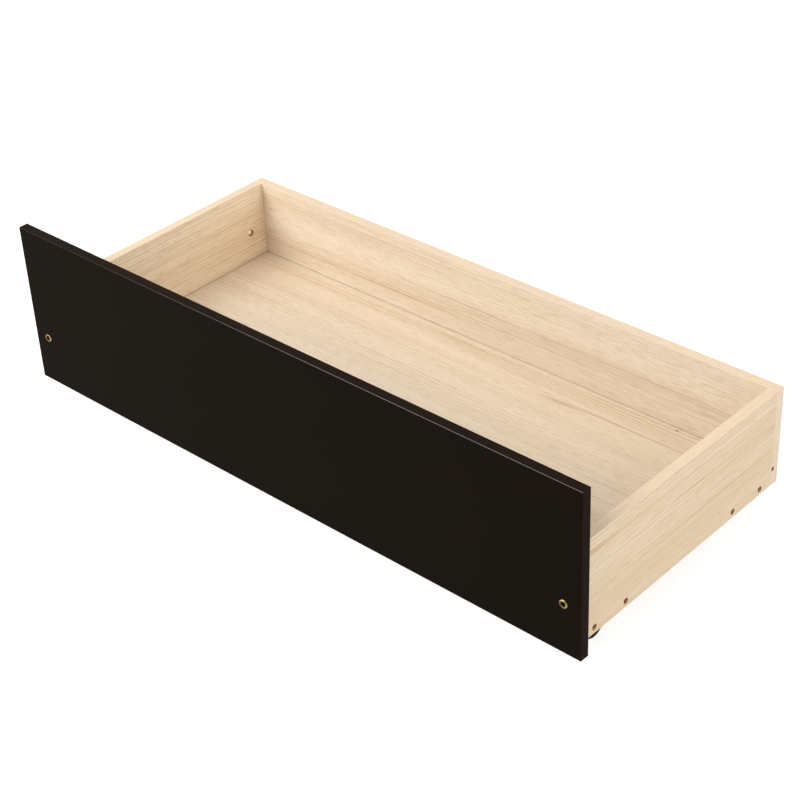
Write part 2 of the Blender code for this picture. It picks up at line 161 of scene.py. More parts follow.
class StageSettings(bpy.types.PropertyGroup):
    azimuth: angle("Azimuth", "Camera round the drawer", 43.70)
    elevation: angle("Elevation", "Camera over the horizon", 33.75)
    roll: angle("Roll", "Camera about its own line of sight", -2.88)
    distance: length("Distance", "Camera to the point it looks at", 2.62)
    lens: amount("Lens", "Focal length in millimetres", 85.68)
    sky: amount("Sky", "Strength of the even white light", 0.76)
    key: amount("Key", "Softbox on the left, in watts", 73)
    fill: amount("Fill", "Softbox behind on the right, in watts", 20)
    table: amount("Table", "Light that comes up through the floor", 0.77)


GROUPS = {
    "drawer_boards": BoardSettings,
    "drawer_finish": FinishSettings,
    "drawer_fasteners": FastenerSettings,
    "drawer_casters": CasterSettings,
    "drawer_stage": StageSettings,
}


# ---------------------------------------------------------------- surfaces


class Shape(NamedTuple):
    """Points as an (n, 3) array and faces as tuples of point numbers, facing out."""

    points: np.ndarray
    faces: list


def grid_shape(grid, wrap_rows=False, caps=True):
    """Quads over a (rows, columns, 3) grid whose columns close on themselves. Unless its rows close too,
    its first and last rows are capped. It faces out where rows run up and columns run anticlockwise."""
    rows, columns = grid.shape[:2]
    row = np.arange(rows if wrap_rows else rows - 1)[:, None]
    column = np.arange(columns)[None, :]
    ahead, above = (column + 1) % columns, (row + 1) % rows
    row, above = row * columns, above * columns
    corners = np.broadcast_arrays(row + column, row + ahead, above + ahead, above + column)
    faces = np.stack(corners, axis=-1).reshape(-1, 4).tolist()
    if caps and not wrap_rows:
        first = np.arange(columns)
        faces += [first[::-1].tolist(), (first + (rows - 1) * columns).tolist()]
    return Shape(grid.reshape(-1, 3), faces)


def round_angles(segments):
    """Even angles once round the axis, one for each column of a turned piece."""
    return np.arange(segments) * 2 * np.pi / segments


def turned(radius, height, segments, squeeze=1.0, wrap_rows=False):
    """A surface of revolution, squeezed: at height h and angle t its radius is r(h) times squeeze(h, t)."""
    turn = round_angles(segments)
    reach = np.asarray(radius, float)[:, None] * squeeze * np.ones(segments)
    rise = np.asarray(height, float)
    rise = np.broadcast_to(rise if rise.ndim == 2 else rise[:, None], reach.shape)
    return grid_shape(np.stack([reach * np.cos(turn), reach * np.sin(turn), rise], axis=-1), wrap_rows)


def placed(shape, origin, direction):
    """The shape turned so that its own Z runs along direction, then moved to origin."""
    turn = np.array(Vector((0, 0, 1)).rotation_difference(Vector(direction)).to_matrix())
    return Shape(shape.points @ turn.T + np.array(origin), shape.faces)


def joined(shapes):
    """Several shapes as one, the point numbers of each counted on from the last."""
    starts = np.cumsum([0] + [len(shape.points) for shape in shapes])
    faces = [[i + n for i in face] for shape, n in zip(shapes, starts.tolist()) for face in shape.faces]
    return Shape(np.concatenate([shape.points for shape in shapes]), faces)


def rounded_block(low, high, radius, steps=3):
    """A box with rounded edges. A sphere's directions n, on a grid doubled where a sign changes, are
    pushed out to the box's corners: p = centre + sign * (half - r) + r * n."""
    low, high = np.array(low, float), np.array(high, float)
    quarter = np.linspace(0, np.pi / 2, steps + 1)
    around = (quarter + np.arange(4)[:, None] * np.pi / 2).ravel()
    rise = np.concatenate([quarter - np.pi / 2, quarter])
    cos_rise, sin_rise = np.cos(rise)[:, None], np.sin(rise)[:, None] * np.ones(len(around))
    n = np.stack([cos_rise * np.cos(around), cos_rise * np.sin(around), sin_rise], axis=-1)
    sign_x = np.repeat([1, -1, -1, 1], steps + 1) * np.ones_like(cos_rise)
    sign_y = np.repeat([1, 1, -1, -1], steps + 1) * np.ones_like(cos_rise)
    sign_z = np.repeat([-1, 1], steps + 1)[:, None] * np.ones(len(around))
    sign = np.stack([sign_x, sign_y, sign_z], axis=-1)
    grid = (low + high) / 2 + sign * ((high - low) / 2 - radius) + radius * n
    return grid_shape(grid)


def block(low, high):
    """A plain box, used to cut with."""
    (x0, y0, z0), (x1, y1, z1) = low, high
    return prism([(x0, y0), (x1, y0), (x1, y1), (x0, y1)], z0, z1)


def arc(centre, radius, start, end, steps=4):
    """A list of points on an arc, its angles in degrees from the first axis towards the second."""
    turn = np.radians(np.linspace(start, end, steps + 1))
    points = np.array(centre) + radius * np.column_stack([np.cos(turn), np.sin(turn)])
    return [tuple(point) for point in points]


def carried(profile, start, end, out):
    """A closed (across, out) profile carried along the straight line from start to end, with flat ends."""
    start, end, out = (np.array(v, float) for v in (start, end, out))
    across = np.cross(out, (end - start) / np.linalg.norm(end - start))
    ring = profile[:, :1] * across + profile[:, 1:] * out
    return grid_shape(np.stack([start + ring, end + ring]))


def prism(outline, low, high):
    """An anticlockwise (x, y) outline carried from z = low to z = high."""
    rings = [np.column_stack([outline, np.full(len(outline), z)]) for z in (low, high)]
    return grid_shape(np.stack(rings))


def bore(start, direction, radius, depth, over=OVER):
    """A round cutter that starts just outside the surface and runs depth below it, along direction."""
    return placed(turned([radius, radius], [-over, depth], BORE_SEGMENTS), start, direction)


def hexagon(turn):
    """Radius of a hexagon in direction turn, as a share of its corner radius."""
    return math.cos(math.pi / 6) / np.cos(turn % (math.pi / 3) - math.pi / 6)


def cross(turn, arm, half_width):
    """Radius of a plus shape in direction turn: the nearer of the arm's end and its side."""
    off = (turn + math.pi / 4) % (math.pi / 2) - math.pi / 4
    return np.minimum(arm / np.cos(off), half_width / np.maximum(np.abs(np.sin(off)), 1e-9))


def middle(low, high, **fixed):
    """The middle of a box, with the axes that are given by name held at their values instead."""
    point = {axis: (getattr(low, axis) + getattr(high, axis)) / 2 for axis in "xyz"}
    return tuple({**point, **fixed}.values())


def mesh_object(name, shape, materials):
    """The shape as an object at the origin, with coincident points merged."""
    mesh = bpy.data.meshes.new(name)
    mesh.from_pydata(shape.points.tolist(), [], shape.faces)
    edit = bmesh.new()
    edit.from_mesh(mesh)
    bmesh.ops.remove_doubles(edit, verts=edit.verts, dist=1e-7)
    bmesh.ops.dissolve_degenerate(edit, edges=edit.edges, dist=1e-8)
    edit.to_mesh(mesh)
    edit.free()
    for material in materials:
        mesh.materials.append(material)
    obj = bpy.data.objects.new(name, mesh)
    bpy.context.scene.collection.objects.link(obj)
    return obj


def boolean(obj, shapes, operation="DIFFERENCE", material=None):
    """Cuts the shapes from obj, or joins them to it, for good. Cut walls take the material."""
    tool = mesh_object("tool", joined(shapes), [material] if material else [])
    modifier = obj.modifiers.new("cut", "BOOLEAN")
    modifier.operation = operation
    modifier.solver = "EXACT"
    modifier.material_mode = "TRANSFER"
    modifier.object = tool
    bpy.context.view_layer.update()
    result = bpy.data.meshes.new_from_object(obj.evaluated_get(bpy.context.evaluated_depsgraph_get()))
    result.name = obj.data.name
    obj.modifiers.remove(modifier)
    old, obj.data = obj.data, result
    bpy.data.meshes.remove(old)
    tool_mesh = tool.data
    bpy.data.objects.remove(tool)
    bpy.data.meshes.remove(tool_mesh)


def paint_faces(obj, index, direction, least=0.9):
    """Gives slot index to the faces that look along direction."""
    mesh = obj.data
    normals = np.empty(len(mesh.polygons) * 3, np.float32)
    mesh.polygons.foreach_get("normal", normals)
    slots = np.empty(len(mesh.polygons), np.int32)
    mesh.polygons.foreach_get("material_index", slots)
    slots[normals.reshape(-1, 3) @ np.array(direction, np.float32) > least] = index
    mesh.polygons.foreach_set("material_index", slots)


def paint_core(obj, index, top, direction, radius, depth):
    """Gives slot index to the faces in a cylinder that goes down from top, against the direction."""
    mesh = obj.data
    centres = np.empty(len(mesh.polygons) * 3, np.float32)
    mesh.polygons.foreach_get("center", centres)
    slots = np.empty(len(mesh.polygons), np.int32)
    mesh.polygons.foreach_get("material_index", slots)
    away = centres.reshape(-1, 3) - np.array(top)
    height = away @ np.array(direction)
    aside = np.linalg.norm(away - height[:, None] * np.array(direction), axis=1)
    slots[(aside < radius) & (height > -depth)] = index
    mesh.polygons.foreach_set("material_index", slots)


def settle(obj, slot, nodes=(), body=BODY, bevel=0.0):
    """Smooth shading that keeps flat faces flat, then the piece's body and its replaced CAD nodes hidden.
    The slot is not used.
    """
    if bevel:
        soft = obj.modifiers.new("soft_edges", "BEVEL")
        soft.width = bevel
        soft.segments = 2
        soft.limit_method = "ANGLE"
        soft.angle_limit = math.radians(40)
    obj.data.shade_smooth()
    obj.data.set_sharp_from_angle(angle=SHARP)
    obj.modifiers.new("flat_faces", "WEIGHTED_NORMAL").keep_sharp = True
    if nodes:
        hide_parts(*nodes)
    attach(obj, body)
    return obj


# ---------------------------------------------------------------- materials


def wire(node, inputs):
    """Gives a node its inputs. A socket is linked, and anything else is set, a plain colour made opaque."""
    for name, value in inputs.items():
        socket = node.inputs[name]
        if isinstance(value, bpy.types.NodeSocket):
            node.id_data.links.new(value, socket)
        elif socket.type == "RGBA":
            socket.default_value = (*value, 1)
        else:
            socket.default_value = value


def put(tree, kind, inputs=None, out=0, ramp=(), **settings):
    """Adds one node and gives back its output called out. A ramp is (place, grey) stops."""
    node = tree.nodes.new("ShaderNode" + kind)
    for name, value in settings.items():
        setattr(node, name, value)
    wire(node, inputs or {})
    if ramp:
        stops = node.color_ramp.elements
        while len(stops) < len(ramp):
            stops.new(0.5)
        for stop, (place, grey) in zip(stops, ramp):
            stop.position = place
            stop.color = (grey, grey, grey, 1)
    return node.outputs[out]


def new_material(name):
    """A material, put() for its own tree, and its shader."""
    material = bpy.data.materials.new(name)
    material.use_nodes = True
    tree = material.node_tree
    return material, partial(put, tree), tree.nodes["Principled BSDF"]


def millimetres(add, axes="XYZ", shift=(0, 0, 0)):
    """Object coordinates in millimetres, with the axes in the order (along, across, through)."""
    apart = add("SeparateXYZ", {0: add("TexCoord", out="Object")}).node.outputs
    again = add("CombineXYZ", {i: apart[axis] for i, axis in enumerate(axes)})
    return add("Mapping", {"Vector": again, "Location": shift, "Scale": (1 / MM,) * 3})


def streaks(add, space, size, detail=2.0, roughness=0.5, offset=0.0, span=None, ramp=None):
    """Noise whose cells have the size (along, across, through), in millimetres. It runs from 0 to 1, over
    the span (low, high), or through the ramp."""
    shrink = tuple(1 / s for s in size)
    cell = add("Mapping", {"Vector": space, "Location": (offset,) * 3, "Scale": shrink})
    noise = add("TexNoise", {"Vector": cell, "Scale": 1.0, "Detail": detail, "Roughness": roughness})
    if span:
        return add("MapRange", {"Value": noise, "To Min": span[0], "To Max": span[1]})
    return add("ValToRGB", {0: noise}, ramp=ramp) if ramp else noise


def batch_with_painted_light(shade, gain, bleach):
    """The paper's shade for one piece: brighter or darker by gain, which is painted light for pieces lit
    too much or too little, its green and blue nearer its red by bleach.
    """
    red = shade[0]
    return [min(1, gain * (c + bleach * (red - c))) for c in shade]


def ash_foil(name, axes, shift, finish, gain=1.0, bleach=0.0, plain=0.5, knot=None):
    """Ash-grain melamine paper, printed and pressed on board, under a satin skin. Growth rings
    RING_SPACING apart show as fine straight lines, each dark at one edge and fading. They come and go in
    zones, fewer where plain is higher, among a few long dark lines, short pores and, where a place is
    given, one small knot."""
    material, add, shader = new_material(name)
    space = millimetres(add, axes, shift)
    apart = add("SeparateXYZ", {0: space}).node.outputs
    slow = streaks(add, space, (900, 160, 400), 1.0, span=(-8, 8))
    quick = streaks(add, space, (130, 30, 300), offset=3.1, span=(-1, 1))
    wander = add("Math", {0: slow, 1: quick}, operation="ADD")
    across = add("Math", {0: apart[1], 1: wander}, operation="ADD")
    bent = add("CombineXYZ", {0: apart[0], 1: across, 2: apart[2]})

    spread = streaks(add, bent, (1600, 24, 300), 1.0, offset=8.3, span=(-3, 3))
    count = add("Math", {0: across, 1: RING_SPACING}, operation="DIVIDE")
    count = add("Math", {0: count, 1: spread}, operation="ADD")
    ring = add("Math", {0: count}, operation="FRACT")
    ring = add("ValToRGB", {0: ring}, ramp=((0, 0), (0.1, 1), (0.26, 0.35), (0.5, 0)))
    zone_edges = ((plain - 0.08, 0.12), (plain + 0.08, 1))
    zones = streaks(add, bent, (1500, 34, 300), 1.0, offset=11.9, ramp=zone_edges)
    share = streaks(add, bent, (260, 5, 300), offset=1.3, ramp=((0.3, 0.25), (0.58, 1)))
    rings = add("Math", {0: ring, 1: zones}, operation="MULTIPLY")
    rings = add("Math", {0: rings, 1: share}, operation="MULTIPLY")

    contour = streaks(add, bent, (2400, 22, 300), 1.0, offset=7.7)
    contour = add("Math", {0: contour, 1: 0.5}, operation="SUBTRACT")
    contour = add("Math", {0: contour}, operation="ABSOLUTE")
    contour = add("ValToRGB", {0: contour}, ramp=((0.002, 1), (0.011, 0)))
    rare = streaks(add, bent, (500, 16, 300), 1.0, offset=4.4, ramp=((0.47, 0), (0.58, 1)))
    strong = add("Math", {0: contour, 1: rare}, operation="MULTIPLY")

    pores = streaks(add, bent, (18, 0.9, 300), 1.0, offset=5.9, ramp=((0.34, 1), (0.5, 0)))
    shimmer = streaks(add, bent, (70, 1.7, 300), offset=2.2)
    broad = streaks(add, bent, (1000, 40, 300), ramp=((0.34, 0), (0.66, 1)))

    pale, warm = (batch_with_painted_light(shade, gain, bleach) for shade in (finish.ash_pale, finish.ash_warm))
    wood = add("Mix", {FACTOR: broad, FIRST: pale, SECOND: warm}, **COLOURS)
    glint = add("MapRange", {"Value": shimmer, "To Min": -0.12, "To Max": 0.22})
    wood = add("Mix", {FACTOR: glint, FIRST: wood, SECOND: finish.ash_line}, **COLOURS)
    for mark, most in ((rings, 0.8), (strong, 0.5), (pores, 0.3)):
        dark = add("Math", {0: mark, 1: most}, operation="MULTIPLY")
        wood = add("Mix", {FACTOR: dark, FIRST: wood, SECOND: finish.ash_line}, **COLOURS)
    if knot:
        away = add("VectorMath", {0: space, 1: knot}, out="Value", operation="DISTANCE")
        spot = add("MapRange", {"Value": away, "From Min": 1, "From Max": 2, "To Min": 1, "To Max": 0})
        wood = add("Mix", {FACTOR: spot, FIRST: wood, SECOND: linear("4A3524")}, **COLOURS)
    marks = add("Math", {0: rings, 1: pores}, operation="ADD")
    skin = add("MapRange", {"Value": marks, "To Min": 1, "To Max": 0})
    wire(shader, {
        "Base Color": wood,
        "Roughness": add("MapRange", {"Value": shimmer, "To Min": 0.42, "To Max": 0.52}),
        "Normal": add("Bump", {"Height": skin, "Distance": 0.02 * MM}),
        "IOR": 1.5,
        "Specular IOR Level": 0.3,
    })
    return material


def ash_band(name, axes, finish, gain=1.0, bleach=0.0):
    """Melamine edge band, ironed on: paler and plainer than the boards, with a fine speckle."""
    material, add, shader = new_material(name)
    space = millimetres(add, axes)
    fine = streaks(add, space, (34, 1.8, 1.8), roughness=0.6, span=(-0.5, 1.3))
    speck = streaks(add, space, (5, 1.2, 1.2), 1.0, offset=2.0)
    dots = add("ValToRGB", {0: speck}, ramp=((0.3, 0.22), (0.45, 0)))
    pale, warm = (batch_with_painted_light(shade, gain, bleach) for shade in (finish.ash_band, finish.ash_warm))
    tone = add("Mix", {FACTOR: fine, FIRST: pale, SECOND: warm}, **COLOURS)
    wire(shader, {
        "Base Color": add("Mix", {FACTOR: dots, FIRST: tone, SECOND: finish.ash_line}, **COLOURS),
        "Roughness": 0.5,
        "Normal": add("Bump", {"Height": speck, "Distance": 0.02 * MM}),
        "IOR": 1.5,
        "Specular IOR Level": 0.4,
    })
    return material


def espresso_foil(name, shade, roughness, specular):
    """Espresso melamine foil, pressed smooth: almost black, with a faint mottle and a satin sheen."""
    material, add, shader = new_material(name)
    space = millimetres(add, ALONG_X_ACROSS_Z)
    cloud = streaks(add, space, (240, 90, 90))
    grain = streaks(add, space, (60, 1.2, 1.2), offset=4.0)
    darker, lighter, line = ([gain * c for c in shade] for gain in (0.82, 1.18, 1.5))
    mottle = add("Mix", {FACTOR: cloud, FIRST: darker, SECOND: lighter}, **COLOURS)
    share = add("MapRange", {"Value": grain, "To Min": 0, "To Max": 0.25})
    sheen = {"Value": cloud, "To Min": roughness - 0.05, "To Max": roughness + 0.05}
    wire(shader, {
        "Base Color": add("Mix", {FACTOR: share, FIRST: mottle, SECOND: line}, **COLOURS),
        "Roughness": add("MapRange", sheen),
        "Normal": add("Bump", {"Height": grain, "Distance": 0.01 * MM}),
        "IOR": 1.5,
        "Specular IOR Level": specular,
    })
    return material


def particle_board(name, finish):
    """Raw particle board, sawn: pressed chips 1 to 5 mm long, tan with darker gaps."""
    material, add, shader = new_material(name)
    chips = add("Mapping", {"Vector": millimetres(add), "Scale": (0.35, 0.5, 0.9)})
    cells = add("TexVoronoi", {"Vector": chips, "Scale": 1.0}).node.outputs
    shade = add("SeparateXYZ", {0: cells["Color"]})
    dark, light = ([min(1, gain * c) for c in finish.chip] for gain in (0.72, 1.25))
    tone = add("Mix", {FACTOR: shade, FIRST: dark, SECOND: light}, **COLOURS)
    gaps = add("ValToRGB", {0: cells["Distance"]}, ramp=((0.45, 0), (0.85, 0.55)))
    wire(shader, {
        "Base Color": add("Mix", {FACTOR: gaps, FIRST: tone, SECOND: linear("6E4F30")}, **COLOURS),
        "Roughness": 0.85,
        "Normal": add("Bump", {"Height": cells["Distance"], "Distance": -0.15 * MM}),
        "Specular IOR Level": 0.2,
    })
    return material


def fibrous(name, axes, size, detail, fibre_share, shades, relief, roughness):
    """Bare wood fibres, pressed or turned: two shades in fine streaks of the given size, and dull."""
    material, add, shader = new_material(name)
    fibres = streaks(add, millimetres(add, axes), size, detail, fibre_share)
    first, second = (linear(shade) for shade in shades)
    wire(shader, {
        "Base Color": add("Mix", {FACTOR: fibres, FIRST: first, SECOND: second}, **COLOURS),
        "Roughness": roughness,
        "Normal": add("Bump", {"Height": fibres, "Distance": relief}),
        "Specular IOR Level": 0.3,
    })
    return material


def hardboard(name):
    """Hardboard, pressed with a smooth face: warm brown with fine fibres."""
    return fibrous(name, "XYZ", (9, 3, 3), 4.0, 0.7, ("8A6440", "B48A5E"), 0.05 * MM, 0.7)


def birch(name):
    """Birch dowel rod, turned and fluted: pale wood with short fibres."""
    return fibrous(name, ALONG_Y_ACROSS_X, (12, 0.5, 0.5), 3.0, 0.6, ("C9A77A", "E6CFA6"), 0.03 * MM, 0.65)


def plated(name, shade, dull, roughness):
    """Plated steel, barrel finished: metal finely scratched, with a faint tarnish in small patches."""
    material, add, shader = new_material(name)
    space = millimetres(add)
    stain = streaks(add, space, (4, 4, 4), 3.0, 0.6, ramp=((0.42, 0), (0.72, 1)))
    scratches = streaks(add, space, (3, 0.25, 3), offset=1.7)
    duller = add("MapRange", {"Value": stain, "To Min": roughness, "To Max": roughness + 0.15})
    scuffed = add("MapRange", {"Value": scratches, "To Min": -0.05, "To Max": 0.05})
    wire(shader, {
        "Base Color": add("Mix", {FACTOR: stain, FIRST: shade, SECOND: dull}, **COLOURS),
        "Metallic": 1.0,
        "Roughness": add("Math", {0: duller, 1: scuffed}, operation="ADD"),
        "Normal": add("Bump", {"Height": scratches, "Distance": 0.004 * MM}),
    })
    return material


def black_polypropylene(name, finish):
    """Polypropylene, injection moulded and dyed black: satin, with a fine mould texture and scuffs."""
    material, add, shader = new_material(name)
    space = millimetres(add)
    mould = streaks(add, space, (0.5, 0.5, 0.5))
    scuffs = streaks(add, space, (6, 1.5, 1.5), 4.0, 0.7, ramp=((0.5, 0), (0.75, 0.5)))
    worn = [3.5 * c for c in finish.black]
    wire(shader, {
        "Base Color": add("Mix", {FACTOR: scuffs, FIRST: finish.black, SECOND: worn}, **COLOURS),
        "Roughness": add("MapRange", {"Value": scuffs, "To Min": 0.4, "To Max": 0.75}),
        "Normal": add("Bump", {"Height": mould, "Distance": 0.02 * MM}),
        "IOR": 1.49,
        "Specular IOR Level": 0.08,
    })
    return material


def light_table(name, glow):
    """White acrylic light table, lit from below so that shadows stay faint: a pale matt skin that glows."""
    material, add, shader = new_material(name)
    tooth = streaks(add, millimetres(add), (30, 30, 30), 3.0)
    first, second = linear("A2A2A1"), linear("A5A5A4")
    wire(shader, {
        "Base Color": add("Mix", {FACTOR: tooth, FIRST: first, SECOND: second}, **COLOURS),
        "Roughness": 0.9,
        "Specular IOR Level": 0.1,
        "Emission Color": (1, 1, 1),
        "Emission Strength": glow,
    })
    return material


# ---------------------------------------------------------------- boards


def groove_limits():
    """Lowest and highest z of the floor's groove, with its shadow gap over the floor panel."""
    low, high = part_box("floor_panel")
    return low.z - SNUG, high.z + bpy.context.scene.drawer_boards.groove_gap


def cad_gap():
    """The clearance that the CAD leaves between touching pieces, read between front panel and side."""
    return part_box("left_side_panel")[0].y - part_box("front_panel")[1].y


def edge_band(name, start, end, out, width, materials, slot, cut=(), raw=None):
    """A flat strip along a board's edge, its two outer arrises trimmed at 45 degrees: a profile carried
    along the line where the board's core ends. A second material goes on the arrises."""
    boards = bpy.context.scene.drawer_boards
    r = boards.band_arris
    base = boards.seam / 2
    top = boards.band
    soft = 0.25 * r
    near = 0.3 * soft
    right = np.array([
        (width / 2, top - r - soft),
        (width / 2 - near, top - r + near),
        (width / 2 - r + near, top - near),
        (width / 2 - r - soft, top),
    ])
    left = (right * (-1, 1))[::-1]
    profile = np.concatenate([[(-width / 2, base), (width / 2, base)], right, left])
    band = mesh_object(name, carried(profile, start, end, out), materials)
    if len(materials) > 1:
        across = np.cross(out, np.array(end, float) - np.array(start, float))
        for turn in (-1, 1):
            slant = np.array(out) + turn * across / np.linalg.norm(across)
            paint_faces(band, 1, slant / math.sqrt(2))
    if cut:
        boolean(band, cut, material=raw)
    return settle(band, slot)


def bolt_spots(end):
    """The head centres of one end's connector bolts, on their outer faces."""
    spots = []
    for side in SIDES:
        low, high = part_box(f"connector_bolt_{end}_{side}")
        spots.append(middle(low, high, y=low.y if end == "front" else high.y))
    return spots


def dowel_cutters(nodes, margin):
    """Round cutters that follow dowels along Y, longer and wider by the margin."""
    cutters = []
    for node in nodes:
        low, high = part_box(node)
        start = middle(low, high, y=low.y - margin)
        radius = (high.x - low.x) / 2 + margin
        cutters.append(bore(start, (0, 1, 0), radius, high.y - low.y + 2 * margin, over=0))
    return cutters


def end_panel_cutters(end, outer, inner):
    """Bolt holes with head recesses, and blind dowel holes, in the front or back panel."""
    gap = cad_gap()
    inward = (0, -ENDS[end], 0)
    bolt_low, bolt_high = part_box(f"connector_bolt_{end}_left")
    head_radius = (bolt_high.x - bolt_low.x) / 2 + gap / 2
    cutters = []
    for x, _, z in bolt_spots(end):
        radii = [head_radius, head_radius, BOLT_HOLE, BOLT_HOLE]
        depths = [-OVER, BOLT_SEAT, BOLT_SEAT, abs(outer - inner) + OVER]
        cutters.append(placed(turned(radii, depths, BORE_SEGMENTS), (x, outer, z), inward))
    dowels = [f"dowel_{end}_{side}_{level}" for side in SIDES for level in ("lower", "upper")]
    return cutters + dowel_cutters(dowels, gap)


def groove_cutter(low, high):
    """Cuts the floor's groove between two (x, y) corners."""
    z0, z1 = groove_limits()
    return block((*low, z0), (*high, z1))


class DRAWER_OT_front_panel(bpy.types.Operator):
    """Dark front panel: a foil-faced core with a band round its four edges"""

    bl_idname = "drawer.front_panel"
    bl_label = "Front panel"

    def execute(self, context):
        boards, finish = context.scene.drawer_boards, context.scene.drawer_finish
        low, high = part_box("front_panel")
        band = boards.band
        foil = espresso_foil("espresso_melamine_foil", list(finish.espresso), 0.42, 0.01)
        edge = espresso_foil("espresso_edge_band", list(finish.espresso_band), 0.35, 0.02)
        # Painted shade: the upright bands take a darker copy of the band's colour, 0.8 times as bright.
        shaded_upright = [0.8 * c for c in finish.espresso_band]
        shaded_upright = espresso_foil("espresso_edge_band_upright", shaded_upright, 0.35, 0.01)
        worn = espresso_foil("burnished_band_arris", list(finish.espresso_band), 0.24, 0.32)
        raw = particle_board("raw_particle_board_front", finish)
        core_low = low + Vector((band, 0, band))
        core_high = high - Vector((band, 0, band))
        core = mesh_object("front_panel_core", rounded_block(core_low, core_high, boards.arris), [foil])
        floor_low, floor_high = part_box("floor_panel")
        tongue = high.y - floor_low.y + cad_gap()
        groove_end = (floor_high.x + cad_gap(), high.y + OVER)
        groove = groove_cutter((floor_low.x - cad_gap(), high.y - tongue), groove_end)
        boolean(core, [groove], material=raw)
        boolean(core, end_panel_cutters("front", low.y, high.y), material=raw)
        settle(core, "espresso_laminate", ["front_panel"])
        width, centre = high.y - low.y, (low.y + high.y) / 2
        for name, z, out in (("top", core_high.z, 1), ("bottom", core_low.z, -1)):
            ends = [(low.x, centre, z), (high.x, centre, z)]
            edge_band(f"front_band_{name}", *ends, (0, 0, out), width, [edge, worn], "espresso_laminate")
        for name, x, out in (("left", core_low.x, -1), ("right", core_high.x, 1)):
            ends = [(x, centre, core_low.z + boards.seam), (x, centre, core_high.z - boards.seam)]
            edge_band(f"front_band_{name}", *ends, (out, 0, 0), width, [shaded_upright], "espresso_laminate")
        return {"FINISHED"}


class DRAWER_OT_back_panel(bpy.types.Operator):
    """Back panel: banded on its top and ends, with the floor's groove running out at both ends"""

    bl_idname = "drawer.back_panel"
    bl_label = "Back panel"

    def execute(self, context):
        boards, finish = context.scene.drawer_boards, context.scene.drawer_finish
        low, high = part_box("back_panel")
        band = boards.band
        foil = ash_foil("ash_melamine_foil_back", ALONG_X_ACROSS_Z, (620, 90, 0), finish, 0.98, 0.22, 0.54)
        raw = particle_board("raw_particle_board_back", finish)
        core_low = low + Vector((band, 0, 0))
        core_high = high - Vector((band, 0, band))
        shape = rounded_block(core_low, core_high, boards.arris)
        core = mesh_object("back_panel_core", shape, [foil, raw])
        paint_faces(core, 1, (0, 0, -1))
        floor_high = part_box("floor_panel")[1]
        groove = groove_cutter((low.x - OVER, low.y - OVER), (high.x + OVER, floor_high.y + cad_gap()))
        boolean(core, [groove], material=raw)
        boolean(core, end_panel_cutters("rear", high.y, low.y), material=raw)
        settle(core, "ash_laminate", ["back_panel"])
        width, centre = high.y - low.y, (low.y + high.y) / 2
        top = ash_band("ash_edge_band_along_x", ALONG_X_ACROSS_Y, finish)
        # Painted shade: the end bands take a darker copy of the band, gain 0.84.
        shaded_upright = ash_band("ash_edge_band_upright", ALONG_Z_ACROSS_Y, finish, 0.84, 0.08)
        trimmed = ash_band("ash_edge_band_trimmed", ALONG_Z_ACROSS_Y, finish, 1.02, 0.3)
        ends = [(low.x, centre, core_high.z), (high.x, centre, core_high.z)]
        edge_band("back_band_top", *ends, (0, 0, 1), width, [top], "ash_laminate")
        for name, x, out in (("left", core_low.x, -1), ("right", core_high.x, 1)):
            ends = [(x, centre, low.z), (x, centre, core_high.z - boards.seam)]
            foils = [shaded_upright, trimmed]
            edge_band(f"back_band_{name}", *ends, (out, 0, 0), width, foils, "ash_laminate", [groove], raw)
        return {"FINISHED"}


